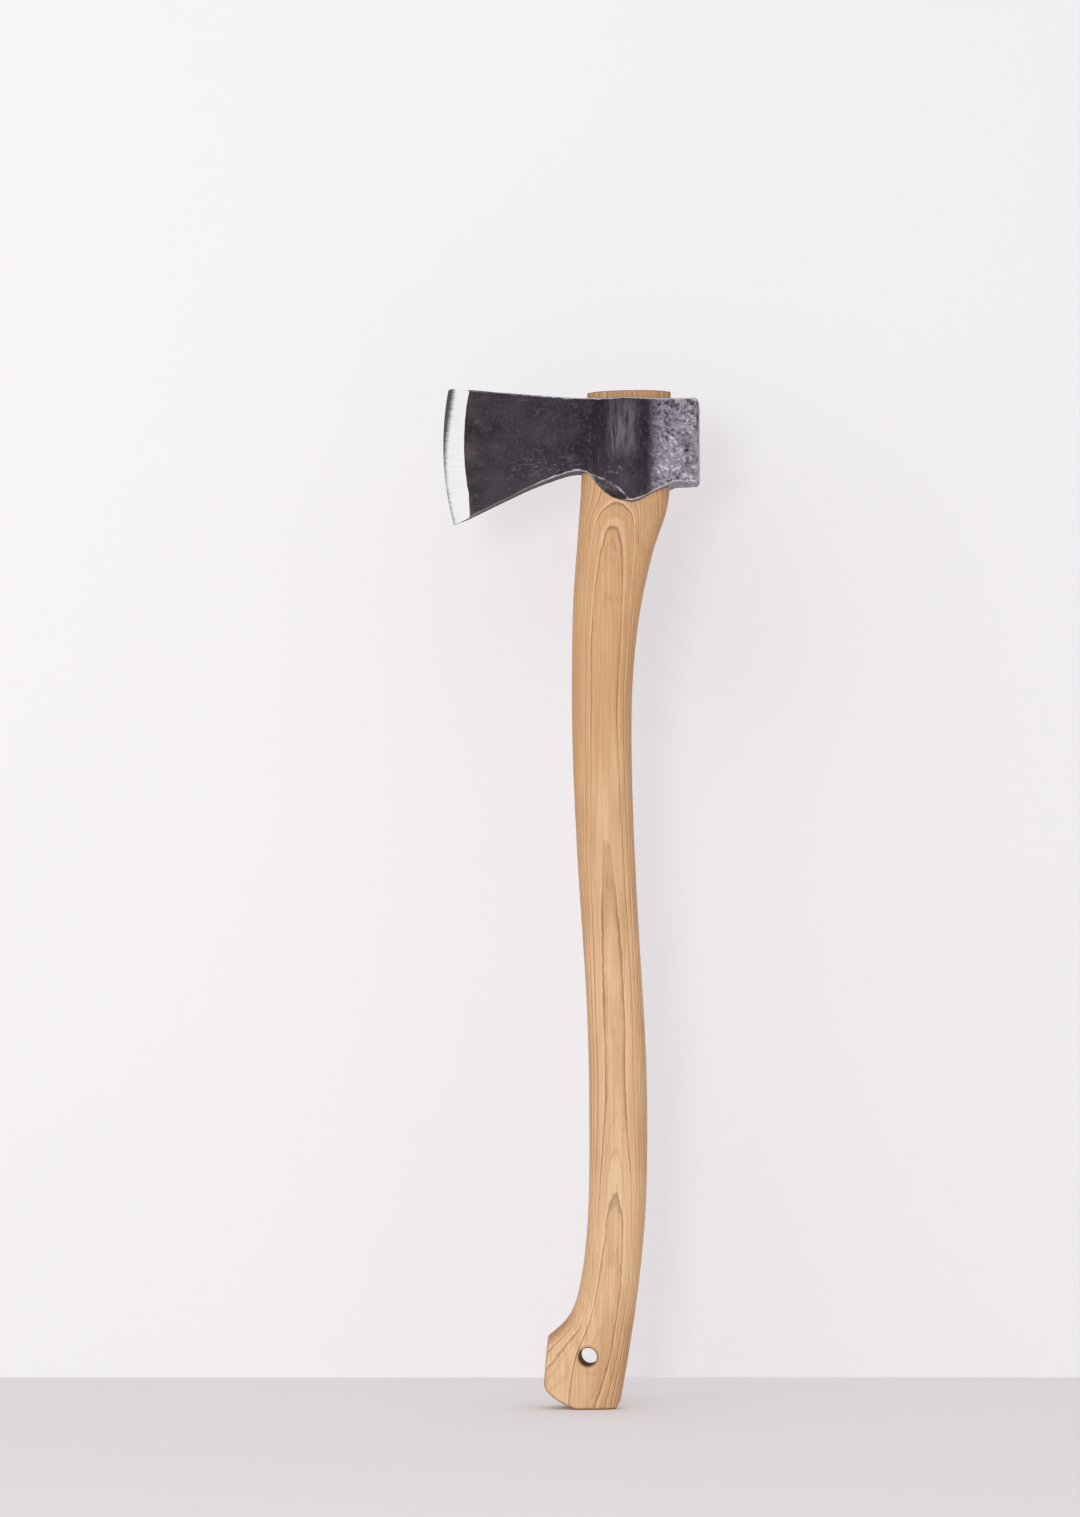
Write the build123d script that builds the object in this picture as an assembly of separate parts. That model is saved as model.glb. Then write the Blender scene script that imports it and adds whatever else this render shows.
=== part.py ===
from build123d import *
from math import cos, pi, radians, sin, sqrt, tan
import os

# A one-piece forged axe head with a flared bit and side lugs, wedged on a curved
# hickory haft with a fawn's-foot end. The axe stands upright on its foot:
# +Z runs up the haft, -X points at the cutting edge, +X at the poll, and Y runs
# through the thickness. The origin is on the flat end of the foot. Millimetres.

# ---- Overall ----
SEAT_HEIGHT = 578.0  # foot's flat end up to the underside of the poll
EYE_CENTRE = 21.5  # X of the middle of the eye
FIT = 0.05  # gap left all round where wood meets steel or wood meets wood

# ---- Haft ----
GRIP_THICKNESS = 22.0
SHOULDER_THICKNESS = 23.8
FOOT_THICKNESS = 24.4
# Sections of the foot, tilted to follow its swell: front X, front Z, back X, back Z,
# thickness.
FOOT_LINES = [
    (-54.0, 27.0, 7.5, -36.0, FOOT_THICKNESS),
    (-42.5, 35.0, 12.0, -12.0, FOOT_THICKNESS),
    (-31.5, 43.2, 15.3, 8.0, FOOT_THICKNESS),
    (-22.5, 50.6, 18.2, 24.0, FOOT_THICKNESS),
    (-15.5, 59.5, 21.0, 41.0, FOOT_THICKNESS - 0.4),
    (-11.0, 73.0, 24.0, 60.0, GRIP_THICKNESS + 1.4),
    (-8.3, 88.0, 26.6, 80.0, GRIP_THICKNESS + 0.6),
    (-6.4, 104.0, 29.1, 103.0, GRIP_THICKNESS),
]
# Level sections of the grip: share of its length, front X, back X.
GRIP_LINES = [
    (0.09, -4.7, 31.3),
    (0.19, -4.5, 31.8),
    (0.31, -5.0, 31.0),
    (0.43, -6.9, 28.6),
    (0.56, -10.1, 25.8),
    (0.695, -13.0, 23.6),
    (0.815, -14.7, 22.6),
    (0.92, -15.2, 23.3),
]
# Level sections below the head: depth under the seat, front X, back X.
SHOULDER_LINES = [
    (98.0, -14.9, 25.8),
    (74.0, -14.2, 29.4),
    (54.0, -13.0, 33.7),
    (36.0, -11.6, 38.6),
    (22.0, -10.6, 43.6),
    (10.0, -9.7, 46.5),
    (-2.0, -9.0, 47.6),
    (-14.0, -8.4, 47.8),
]
OVAL_POINTS = 16  # points that each section's curve passes through
GRIP_SQUARENESS = 2.35  # 2 is an ellipse, more is squarer

# ---- Foot of the haft ----
HEEL_TOP = (-30.2, 43.6)  # X, Z of the corner where the swell meets the front cut
HEEL_LOW = (-32.0, 17.5)
HEEL_ROUND = [(-31.3, 12.6), (-26.6, 7.4), (-19.2, 2.9)]
FOOT_FACE = (-12.8, 11.8)  # X where the flat end starts and stops
TOE_CUT = (14.6, 4.6)  # X, Z of the top of the small cut behind the flat end
FOOT_ROUND = 1.8  # easing all round the foot's cut faces
HANG_HOLE = (-4.7, 32.2)  # X, Z of the hanging hole
HANG_HOLE_RADIUS = 5.5
HANG_HOLE_EASE = 0.6

# ---- Tongue and eye ----
EYE_LENGTH = 52.0  # along X, half way up the head
EYE_WIDTH = 18.2  # along Y, half way up the head
EYE_TOP_GROWTH = 1.2  # the eye opens out this much at the top
EYE_LOW_GROWTH = 2.4  # and this much wider between the lugs
TONGUE_PROUD = 5.4  # tongue above the head's top
TONGUE_CHAMFER = 0.8
TONGUE_SQUARENESS = 2.15

# ---- Head, measured from the eye's middle and the poll's underside ----
POLL_REACH = 45.0  # eye's middle to the poll's face
POLL_HEIGHT = 54.5
POLL_HALF = 11.4  # half the poll's thickness
POLL_CHAMFER = 1.7
BIT_REACH = 119.0  # eye's middle to the middle of the cutting edge
EDGE_RADIUS = 200.0
EDGE_CENTRE_HEIGHT = 28.5
TOE_HEIGHT = 64.8  # top corner of the bit above the poll's underside
TOE_ROUND = 3.2  # rounding of the top corner of the bit
HEEL_DEPTH = 23.8  # bottom corner of the bit below the poll's underside
LUG_DEPTH = 12.2  # lug tips below the poll's underside
BEARD_START = -25.5  # X where the lugs turn into the underside of the bit
BEARD_RISE = 8.3  # highest point of the underside, in front of the haft
EDGE_LAND = 0.16
EDGE_BEVEL_WIDTH = 2.6
EDGE_BEVEL_ANGLE = 17.0  # degrees from the middle plane
GRIND_ANGLE = 10.3
# Cheeks: (share of the way from the first wall line to the edge, half thickness at
# mid height, at the top, at the bottom).
CHEEK_LINES = [
    (1.08, 1.8, 1.7, 1.6),
    (0.86, 2.8, 2.65, 2.4),
    (0.64, 3.95, 3.8, 3.5),
    (0.42, 5.2, 5.0, 4.7),
    (0.24, 6.5, 6.3, 6.0),
    (0.095, 8.0, 7.8, 7.4),
]
# Eye walls and poll: (X from the eye's middle, the same three half thicknesses).
WALL_LINES = [
    (-27.0, 9.7, 9.4, 9.0),
    (-18.0, 12.1, 11.7, 11.3),
    (-9.0, 14.6, 14.1, 13.3),
    (-1.0, 15.5, 14.9, 13.9),
    (6.0, 14.9, 14.3, 13.6),
    (11.5, 13.5, 13.0, 12.7),
    (17.0, 12.2, 12.0, 11.9),
    (24.0, POLL_HALF + 0.1, POLL_HALF, POLL_HALF),
    (34.0, POLL_HALF, POLL_HALF - 0.1, POLL_HALF - 0.1),
    (POLL_REACH + 3.0, POLL_HALF, POLL_HALF - 0.2, POLL_HALF - 0.2),
]
SECTION_SPARE = 9.0  # cheek sections run this far past the head's outline
# Three points on the facet that takes the corner off each lug's front edge: X and Z
# as above, with Y between them. The first is where the facet starts.
LUG_FACET = [(-25.0, -10.7, 8.2), (-15.4, -12.4, 1.5), (-18.5, -9.4, -1.4)]

# ---- Wedges ----
WEDGE_TOP = 5.4  # wooden wedge's thickness at its top
WEDGE_TIP = 1.2
WEDGE_DEPTH = 38.0
KERF_DEPTH = 46.0  # saw cut in the tongue, a little deeper than the wedge
KERF_WIDTH = 1.4
SPIKE_WIDTH = 15.0  # steel wedge across its face
SPIKE_THICKNESS = 3.0
SPIKE_TIP = 0.7
SPIKE_DEPTH = 24.0
SPIKE_PROUD = 0.6
SPIKE_TURN = 42.0  # degrees that the steel wedge stands across the wooden one
SPIKE_X = -5.5  # X from the eye's middle
BARB_COUNT = 3
BARB_DEPTH = 0.9
BARB_HEIGHT = 4.5

# ---- Places worked out from the sizes above ----
HEAD_TOP = SEAT_HEIGHT + POLL_HEIGHT
TOE_RISE = TOE_HEIGHT - POLL_HEIGHT
TONGUE_TOP = HEAD_TOP + TONGUE_PROUD
POLL_X = EYE_CENTRE + POLL_REACH
EDGE_X = EYE_CENTRE - BIT_REACH
EDGE_CENTRE = (EDGE_X + EDGE_RADIUS, SEAT_HEIGHT + EDGE_CENTRE_HEIGHT)
FULL_DEPTH = 60.0  # more than half of anything's thickness along Y


def edge_x(height):
    """X of the cutting edge at a height above the poll's underside."""
    rise = height - EDGE_CENTRE_HEIGHT
    return EDGE_CENTRE[0] - sqrt(EDGE_RADIUS**2 - rise**2)


def bit_x(share, start):
    """X that far on from start (measured from the eye's middle) to the edge."""
    return EYE_CENTRE + start - share * (BIT_REACH + start)


def power(value, exponent):
    """A power that keeps the sign of what it is given."""
    return abs(value) ** exponent * (1 if value >= 0 else -1)


def oval(front, back, thickness, squareness):
    """A face between two XZ points, between an ellipse and a rectangle in shape."""
    points = []
    for i in range(OVAL_POINTS):
        turn = 2 * pi * i / OVAL_POINTS
        share = (1 + power(cos(turn), 2 / squareness)) / 2
        x = front[0] + (back[0] - front[0]) * share
        z = front[1] + (back[1] - front[1]) * share
        points.append((x, thickness / 2 * power(sin(turn), 2 / squareness), z))
    steps = [i / OVAL_POINTS for i in range(OVAL_POINTS + 1)]
    return make_face(Edge.make_spline(points, periodic=True, parameters=steps))


def extrude_side(outline):
    """A solid with this closed outline in XZ, as thick as the whole axe allows."""
    face = Plane.XZ * make_face(outline)
    return extrude(face, FULL_DEPTH, both=True)


# ---- Head ----
def head_outline():
    """The head seen from the side, drawn past the cutting edge at the bit."""
    past_edge = EDGE_X - 12
    toe_x = edge_x(TOE_HEIGHT)
    toe_z = SEAT_HEIGHT + TOE_HEIGHT
    toe_front = (edge_x(TOE_HEIGHT - TOE_ROUND), toe_z - TOE_ROUND)
    toe_corner = (toe_x + 0.3 * TOE_ROUND, toe_z - 0.3 * TOE_ROUND)
    toe_back = (toe_x + TOE_ROUND, toe_z)
    heel = (edge_x(-HEEL_DEPTH), SEAT_HEIGHT - HEEL_DEPTH)
    heel_front = (past_edge, heel[1] - (heel[0] - past_edge) / 4)
    bit = Polyline(heel, heel_front, (past_edge, toe_front[1]), toe_front)
    toe = ThreePointArc(toe_front, toe_corner, toe_back)
    top = Spline(
        toe_back,
        (bit_x(0.58, -EYE_LENGTH / 2), HEAD_TOP + 0.64 * TOE_RISE),
        (bit_x(0.29, -EYE_LENGTH / 2), HEAD_TOP + 0.36 * TOE_RISE),
        (bit_x(0, -EYE_LENGTH / 2), HEAD_TOP + 0.09 * TOE_RISE),
        (EYE_CENTRE, HEAD_TOP),
    )
    poll = Polyline(
        (EYE_CENTRE, HEAD_TOP),
        (POLL_X, HEAD_TOP - 0.6),
        (POLL_X, SEAT_HEIGHT),
        (POLL_X - 16, SEAT_HEIGHT - 0.2),
    )
    lug = Spline(
        (POLL_X - 16, SEAT_HEIGHT - 0.2),
        (EYE_CENTRE + 21.5, SEAT_HEIGHT - 0.29 * LUG_DEPTH),
        (EYE_CENTRE + 15.0, SEAT_HEIGHT - 0.55 * LUG_DEPTH),
        (EYE_CENTRE + 7.0, SEAT_HEIGHT - 0.91 * LUG_DEPTH),
        (EYE_CENTRE + 2.0, SEAT_HEIGHT - LUG_DEPTH),
        (EYE_CENTRE - 4.5, SEAT_HEIGHT - 0.92 * LUG_DEPTH),
        (EYE_CENTRE - 11.0, SEAT_HEIGHT - 0.71 * LUG_DEPTH),
        (EYE_CENTRE - 16.0, SEAT_HEIGHT - 0.38 * LUG_DEPTH),
        (bit_x(0, BEARD_START), SEAT_HEIGHT + 0.82 * BEARD_RISE),
    )
    beard = Spline(
        (bit_x(0, BEARD_START), SEAT_HEIGHT + 0.82 * BEARD_RISE),
        (bit_x(0.06, BEARD_START), SEAT_HEIGHT + BEARD_RISE),
        (bit_x(0.17, BEARD_START), SEAT_HEIGHT + 0.81 * BEARD_RISE),
        (bit_x(0.38, BEARD_START), SEAT_HEIGHT - 0.02 * HEEL_DEPTH),
        (bit_x(0.62, BEARD_START), SEAT_HEIGHT - 0.46 * HEEL_DEPTH),
        heel,
    )
    return [bit, toe, top, poll, lug, beard]


def cheek_section(x, half, half_top, half_low, low, high):
    """A face across the head at one X, with crowned sides."""
    middle = (low + high) / 2
    right = ThreePointArc((x, half_low, low), (x, half, middle), (x, half_top, high))
    left = ThreePointArc((x, -half_top, high), (x, -half, middle), (x, -half_low, low))
    return make_face([right, Line(right @ 1, left @ 0), left, Line(left @ 1, right @ 0)])


def cheeks():
    """The head's thickness from past the edge to past the poll, without its outline."""
    low_bit = SEAT_HEIGHT - HEEL_DEPTH - SECTION_SPARE
    high_bit = SEAT_HEIGHT + TOE_HEIGHT + SECTION_SPARE
    low_eye = SEAT_HEIGHT - LUG_DEPTH - SECTION_SPARE
    high_eye = HEAD_TOP + SECTION_SPARE
    sections = []
    for share, *halves in CHEEK_LINES:
        low = low_eye + (low_bit - low_eye) * share
        high = high_eye + (high_bit - high_eye) * share
        x = bit_x(share, WALL_LINES[0][0])
        sections.append(cheek_section(x, *halves, low, high))
    for offset, *halves in WALL_LINES:
        sections.append(cheek_section(EYE_CENTRE + offset, *halves, low_eye, high_eye))
    return loft(sections)


def grind():
    """A round lens whose rim is the cutting edge and whose sides are the bevels."""
    step_radius = EDGE_RADIUS - EDGE_BEVEL_WIDTH
    step_half = EDGE_LAND / 2 + EDGE_BEVEL_WIDTH * tan(radians(EDGE_BEVEL_ANGLE))
    hub_half = step_half + step_radius * tan(radians(GRIND_ANGLE))
    profile = Polyline(
        (0, -hub_half),
        (step_radius, -step_half),
        (EDGE_RADIUS, -EDGE_LAND / 2),
        (EDGE_RADIUS, EDGE_LAND / 2),
        (step_radius, step_half),
        (0, hub_half),
        close=True,
    )
    lens = revolve(make_face(profile), Axis.Y)
    return Pos(EDGE_CENTRE[0], 0, EDGE_CENTRE[1]) * lens


def lug_facets():
    """Two blocks that take the front corner off each lug."""
    place = Vector(EYE_CENTRE, 0, SEAT_HEIGHT)
    start, crease, inner = (place + Vector(point) for point in LUG_FACET)
    outward = (inner - start).cross(crease - start)
    facet = Plane(origin=start, x_dir=crease - start, z_dir=outward)
    size = 60.0
    block = facet * Pos(0, 0, size / 2) * Box(2 * size, 2 * size, size)
    block -= Pos(start.X - size, 0, SEAT_HEIGHT) * Box(2 * size, 4 * size, 4 * size)
    return block, mirror(block, Plane.XZ)


def head_blank():
    """The head with no eye, no bevels and no lug facets."""
    blank = cheeks() & extrude_side(head_outline())
    poll_face = blank.faces().sort_by(Axis.X)[-1]
    return chamfer(poll_face.edges(), POLL_CHAMFER)


# ---- Haft ----
def tongue(spare=0.0):
    """The part of the haft inside the eye, grown by spare all round."""
    low, high = SEAT_HEIGHT - LUG_DEPTH - 1, TONGUE_TOP
    front = EYE_CENTRE - EYE_LENGTH / 2
    back = EYE_CENTRE + EYE_LENGTH / 2
    waist = SEAT_HEIGHT + 0.35 * POLL_HEIGHT
    half_grow = EYE_TOP_GROWTH / 2
    levels = [
        (low, front, back - 1.8, EYE_WIDTH + EYE_LOW_GROWTH),
        (SEAT_HEIGHT, front, back - 1.2, EYE_WIDTH + 0.5 * EYE_LOW_GROWTH),
        (waist, front, back - 0.6, EYE_WIDTH),
        (HEAD_TOP, front - half_grow, back + half_grow, EYE_WIDTH + EYE_TOP_GROWTH),
        (high, front - half_grow, back + half_grow, EYE_WIDTH + EYE_TOP_GROWTH),
    ]
    sections = []
    for height, x0, x1, width in levels:
        ends = (x0 - spare, height), (x1 + spare, height)
        sections.append(oval(*ends, width + 2 * spare, TONGUE_SQUARENESS))
    return loft(sections, ruled=True)


def grip_sections():
    """Every section of the haft from its foot up into the head."""
    low = FOOT_LINES[-1][1]
    high = SEAT_HEIGHT - SHOULDER_LINES[0][0]
    sections = []
    for front_x, front_z, back_x, back_z, thickness in FOOT_LINES:
        ends = (front_x, front_z), (back_x, back_z)
        sections.append(oval(*ends, thickness, GRIP_SQUARENESS))
    for share, front, back in GRIP_LINES:
        height = low + (high - low) * share
        ends = (front, height), (back, height)
        sections.append(oval(*ends, GRIP_THICKNESS, GRIP_SQUARENESS))
    for depth, front, back in SHOULDER_LINES:
        swell = min(1, 1 - depth / (SHOULDER_LINES[0][0] + 30)) ** 0.5
        thickness = GRIP_THICKNESS + (SHOULDER_THICKNESS - GRIP_THICKNESS) * swell
        ends = (front, SEAT_HEIGHT - depth), (back, SEAT_HEIGHT - depth)
        sections.append(oval(*ends, thickness, GRIP_SQUARENESS))
    return sections


def foot_outline():
    """The haft's side outline at the foot, open wide above it."""
    lean = (HEEL_TOP[0] - HEEL_LOW[0]) / (HEEL_TOP[1] - HEEL_LOW[1])
    wide = 90.0
    clear = HEEL_TOP[1] + 12
    front_clear = (HEEL_TOP[0] + lean * 12, clear)
    heel = Spline(HEEL_LOW, *HEEL_ROUND, (FOOT_FACE[0], 0))
    toe_rise = TOE_CUT[1] / (TOE_CUT[0] - FOOT_FACE[1])
    back_clear = (wide, toe_rise * (wide - FOOT_FACE[1]))
    rest = Polyline(
        (FOOT_FACE[0], 0),
        (FOOT_FACE[1], 0),
        back_clear,
        (wide, TONGUE_TOP + 20),
        (front_clear[0], TONGUE_TOP + 20),
        front_clear,
        HEEL_LOW,
    )
    return [heel, rest]


def make_wooden_wedge(spare=0.0):
    """The taper that spreads the tongue, grown by spare on its two faces."""
    tip = TONGUE_TOP - WEDGE_DEPTH
    taper = Polyline(
        (-WEDGE_TIP / 2 - spare, tip - spare),
        (WEDGE_TIP / 2 + spare, tip - spare),
        (WEDGE_TOP / 2 + spare, TONGUE_TOP),
        (-WEDGE_TOP / 2 - spare, TONGUE_TOP),
        close=True,
    )
    slab = extrude(Plane.YZ * make_face(taper), 2 * EYE_LENGTH, both=True)
    return slab if spare else slab & tongue()


def make_steel_wedge(spare=0.0):
    """A thin barbed steel wedge, driven in across the wooden one."""
    top = SPIKE_PROUD
    half = SPIKE_THICKNESS / 2
    taper = Polyline(
        (-SPIKE_TIP / 2 - spare, -SPIKE_DEPTH - spare),
        (SPIKE_TIP / 2 + spare, -SPIKE_DEPTH - spare),
        (half + spare, top + spare),
        (-half - spare, top + spare),
        close=True,
    )
    width = SPIKE_WIDTH + 2 * spare
    blade = extrude(Plane.XZ * make_face(taper), width / 2, both=True)
    for i in range(BARB_COUNT):
        height = -3.0 - i * BARB_HEIGHT - spare
        for side in (-1, 1):
            root = side * (width / 2 - BARB_DEPTH)
            rim = side * (width / 2 + 1)
            notch = Polyline(
                (root, height),
                (rim, height),
                (rim, height - BARB_HEIGHT * 0.9),
                (side * width / 2, height - BARB_HEIGHT * 0.9),
                close=True,
            )
            blade -= extrude(Plane.YZ * make_face(notch), SPIKE_THICKNESS, both=True)
    place = Pos(EYE_CENTRE + SPIKE_X, 0, TONGUE_TOP)
    return place * Rot(0, 0, 90 - SPIKE_TURN) * blade


def make_haft(blank):
    """The hickory haft: grip, shaped foot, hanging hole, and the slit tongue."""
    grip = loft(grip_sections()) & extrude_side(foot_outline())
    rim = [e for e in grip.edges() if e.center().Z < HEEL_TOP[1] + 5]
    grip = fillet([e for e in rim if e.geom_type != GeomType.LINE], FOOT_ROUND)
    hole = Pos(HANG_HOLE[0], 0, HANG_HOLE[1]) * Rot(90, 0, 0)
    grip -= hole * Cylinder(HANG_HOLE_RADIUS, 2 * FULL_DEPTH)
    hole_wall = grip.faces().filter_by(GeomType.CYLINDER).sort_by(Axis.Z)[0]
    hole_rims = [e for e in hole_wall.edges() if e.geom_type != GeomType.LINE]
    grip = chamfer(hole_rims, HANG_HOLE_EASE)
    grip -= Pos(0, 0, -FIT) * blank
    haft = grip + chamfer_top(tongue())
    kerf_middle = TONGUE_TOP - KERF_DEPTH / 2
    kerf = Pos(EYE_CENTRE, 0, kerf_middle) * Box(2 * EYE_LENGTH, KERF_WIDTH, KERF_DEPTH)
    haft -= kerf
    haft -= make_wooden_wedge(FIT)
    return haft


def chamfer_top(shape):
    """Takes the sharp corner off the top of the tongue."""
    return chamfer(shape.faces().sort_by(Axis.Z)[-1].edges(), TONGUE_CHAMFER)


def main():
    os.makedirs("parts", exist_ok=True)
    blank = head_blank()
    ground = blank & grind()
    for block in lug_facets():
        ground -= block
    head = ground - tongue(FIT)
    spike_hole = make_steel_wedge(FIT)
    parts = {
        "axe_head": head,
        "haft": make_haft(blank) - spike_hole,
        "wooden_wedge": make_wooden_wedge() - spike_hole,
        "steel_wedge": make_steel_wedge(),
    }
    for name, part in parts.items():
        part.label = name
        export_step(part, f"parts/{name}.step")


main()
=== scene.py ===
import math

import bpy
from mathutils import Matrix, Vector


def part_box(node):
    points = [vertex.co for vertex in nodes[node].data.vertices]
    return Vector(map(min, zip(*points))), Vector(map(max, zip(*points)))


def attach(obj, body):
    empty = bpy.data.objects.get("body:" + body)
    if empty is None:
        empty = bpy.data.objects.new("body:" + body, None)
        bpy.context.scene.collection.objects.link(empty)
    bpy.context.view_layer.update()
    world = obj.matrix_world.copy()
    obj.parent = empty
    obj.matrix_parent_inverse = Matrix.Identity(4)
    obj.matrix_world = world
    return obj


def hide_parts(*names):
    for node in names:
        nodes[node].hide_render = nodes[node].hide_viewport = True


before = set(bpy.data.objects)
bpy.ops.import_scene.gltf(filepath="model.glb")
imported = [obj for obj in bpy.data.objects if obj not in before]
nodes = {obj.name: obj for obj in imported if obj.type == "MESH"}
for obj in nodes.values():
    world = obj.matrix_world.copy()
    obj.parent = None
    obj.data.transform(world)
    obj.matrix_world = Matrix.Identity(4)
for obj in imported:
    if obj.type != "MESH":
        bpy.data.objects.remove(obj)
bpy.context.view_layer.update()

MM = 0.001
SAME_PLACE = 0.002 * MM  # points closer than this are one point

# ---- Places taken from the frame ----
head_low, head_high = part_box("axe_head")
EDGE_X = head_low.x  # middle of the cutting edge
TOE_Z = head_high.z  # top of the bit
HEEL_Z = head_low.z  # bottom corner of the bit

# ---- Bevels ground on the bit, in mm from the centre of the edge's arc ----
EDGE_RADIUS = 200.0
EDGE_CENTRE = Vector((EDGE_X + EDGE_RADIUS * MM, 0, TOE_Z - 36.3 * MM))
EDGE_HALF = 0.08  # half the flat left on the very edge
HONED_WIDTH = 2.6
HONED_BACK = 8.0  # the honing cutter's section starts this far behind the edge
HONED_SLOPE = math.tan(math.radians(17))
GROUND_SLOPE = math.tan(math.radians(10.3))
GROUND_WIDTH = 20.0
GROUND_RAISE = 3.7  # the wide bevel's centre sits this much higher
CUTTER_REACH = 25.0  # the cutters go this far past the edge
CUTTER_HALF = 12.0
SWEEP_START = math.radians(28)  # the cutters are swept from above the toe to below the heel
SWEEP_ANGLE = math.radians(56)
SWEEP_STEPS = 112

# ---- The bit as forged, before it is ground: (X, top Z, bottom Z), all in mm ----
FORGED_FROM = -78.0
FORGED_STATIONS = (
    (-81.5, 641.4, 557.7),
    (-85.0, 641.7, 556.4),
    (-88.5, 642.2, 554.9),
    (-92.3, 642.6, 553.3),
    (-93.8, 642.1, 552.5),
    (-94.8, 641.1, 552.1),
    (-95.6, 639.4, 551.6),
    (-98.0, 634.0, 550.9),
    (-103.0, 628.0, 549.5),
)
FORGED_THINNING = 0.0152  # share of the thickness lost for each mm in front of the cut
VOXEL = 0.68 * MM
THIN_FROM, THIN_TO = 25, 80  # mm in front of the origin where the heel's thinning sets in
THIN_SHARE = 0.088  # thickness lost at the height of the edge's centre
THIN_PER_MM = 0.0014  # and gained for each mm above it

# ---- The eye and the skin round it, in mm ----
EYE_X = 21.5
EYE_FRONT, EYE_BACK, EYE_HALF_WIDTH = -7, 50, 10.2
SOUND_Y, SOUND_X = 10.5, 27.5  # no hammer marks this close to the eye's centre
CALM_FROM, CALM_TO = 62, 80  # hammer marks fade between these, towards the bevel


# ---- Picking and shaping ----
def deselect_all():
    """Leaves nothing selected, neither objects nor the frame's nodes."""
    bpy.ops.object.select_all(action="DESELECT")


def pick(piece):
    """Makes this piece the only selected and active object."""
    deselect_all()
    piece.select_set(True)
    bpy.context.view_layer.objects.active = piece


def copy_node(name, new_name):
    """A merged copy of a CAD node's mesh, as a new object."""
    mesh = nodes[name].data.copy()
    piece = bpy.data.objects.new(new_name, mesh)
    bpy.context.scene.collection.objects.link(piece)
    mesh.materials.clear()
    pick(piece)
    bpy.ops.object.mode_set(mode="EDIT")
    bpy.ops.mesh.select_all(action="SELECT")
    bpy.ops.mesh.remove_doubles(threshold=SAME_PLACE)
    bpy.ops.mesh.customdata_custom_splitnormals_clear()
    bpy.ops.object.mode_set(mode="OBJECT")
    return piece


def apply_modifier(piece, modifier):
    """Applies one modifier to the piece's mesh."""
    pick(piece)
    bpy.ops.object.modifier_apply(modifier=modifier.name)


def select_verts(mesh, wanted):
    """In object mode: selects the vertices whose place passes the test, and nothing else."""
    for part in (mesh.polygons, mesh.edges, mesh.vertices):
        part.foreach_set("select", [False] * len(part))
    for vert in mesh.vertices:
        vert.select = wanted(vert.co)


def smooth_share(value, low, high):
    """0 below low, 1 above high and a smooth rise between."""
    share = min(max((value - low) / (high - low), 0.0), 1.0)
    return share * share * (3 - 2 * share)


# ---- The forged head ----
def draw_out_bit(head):
    """Cuts the CAD's finished bevels off and draws the bit out past its edge, still thick."""
    pick(head)
    bpy.ops.object.mode_set(mode="EDIT")
    bpy.ops.mesh.select_all(action="SELECT")
    cut = FORGED_FROM * MM
    bpy.ops.mesh.bisect(
        plane_co=(cut, 0, 0), plane_no=(1, 0, 0), clear_inner=True, threshold=0.001 * MM
    )
    bpy.ops.object.mode_set(mode="OBJECT")
    on_cut = [v.co.copy() for v in head.data.vertices if abs(v.co.x - cut) < SAME_PLACE]
    top, bottom = max(v.z for v in on_cut), min(v.z for v in on_cut)
    select_verts(head.data, lambda co: abs(co.x - cut) < SAME_PLACE)
    last_x, last_top, last_bottom, last_share = cut, top, bottom, 1.0
    for x, new_top, new_bottom in FORGED_STATIONS:
        x, new_top, new_bottom = x * MM, new_top * MM, new_bottom * MM
        share = 1 - FORGED_THINNING * (cut - x) / MM
        tall = (new_top - new_bottom) / (last_top - last_bottom)
        middle = (new_top + new_bottom) / 2
        bpy.ops.object.mode_set(mode="EDIT")
        move = (x - last_x, 0, middle - (last_top + last_bottom) / 2)
        bpy.ops.mesh.extrude_region_move(TRANSFORM_OT_translate={"value": move})
        bpy.ops.transform.resize(
            value=(1, share / last_share, tall), center_override=(x, 0, middle)
        )
        bpy.ops.object.mode_set(mode="OBJECT")
        last_x, last_top, last_bottom, last_share = x, new_top, new_bottom, share
    bpy.ops.object.mode_set(mode="EDIT")
    bpy.ops.mesh.edge_face_add()
    bpy.ops.mesh.select_all(action="SELECT")
    bpy.ops.mesh.quads_convert_to_tris()
    bpy.ops.mesh.normals_make_consistent(inside=False)
    bpy.ops.object.mode_set(mode="OBJECT")


def remesh_evenly(piece, voxel, smoothing):
    """An even skin of small faces, with edges softened as a hammer leaves them."""
    remesh = piece.modifiers.new("even_skin", "REMESH")
    remesh.mode = "VOXEL"
    remesh.voxel_size = voxel
    apply_modifier(piece, remesh)
    smooth = piece.modifiers.new("soft_edges", "SMOOTH")
    smooth.factor = 0.5
    smooth.iterations = smoothing
    apply_modifier(piece, smooth)


def in_eye(co, normal):
    """Whether a point of the head's skin is on the wall of the eye."""
    x, y = co.x / MM, co.y / MM
    within = EYE_FRONT < x < EYE_BACK and abs(y) < EYE_HALF_WIDTH
    inward = normal.y * y + normal.x * (x - EYE_X) * 0.1 < 0
    return within and inward and abs(normal.z) < 0.8


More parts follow.
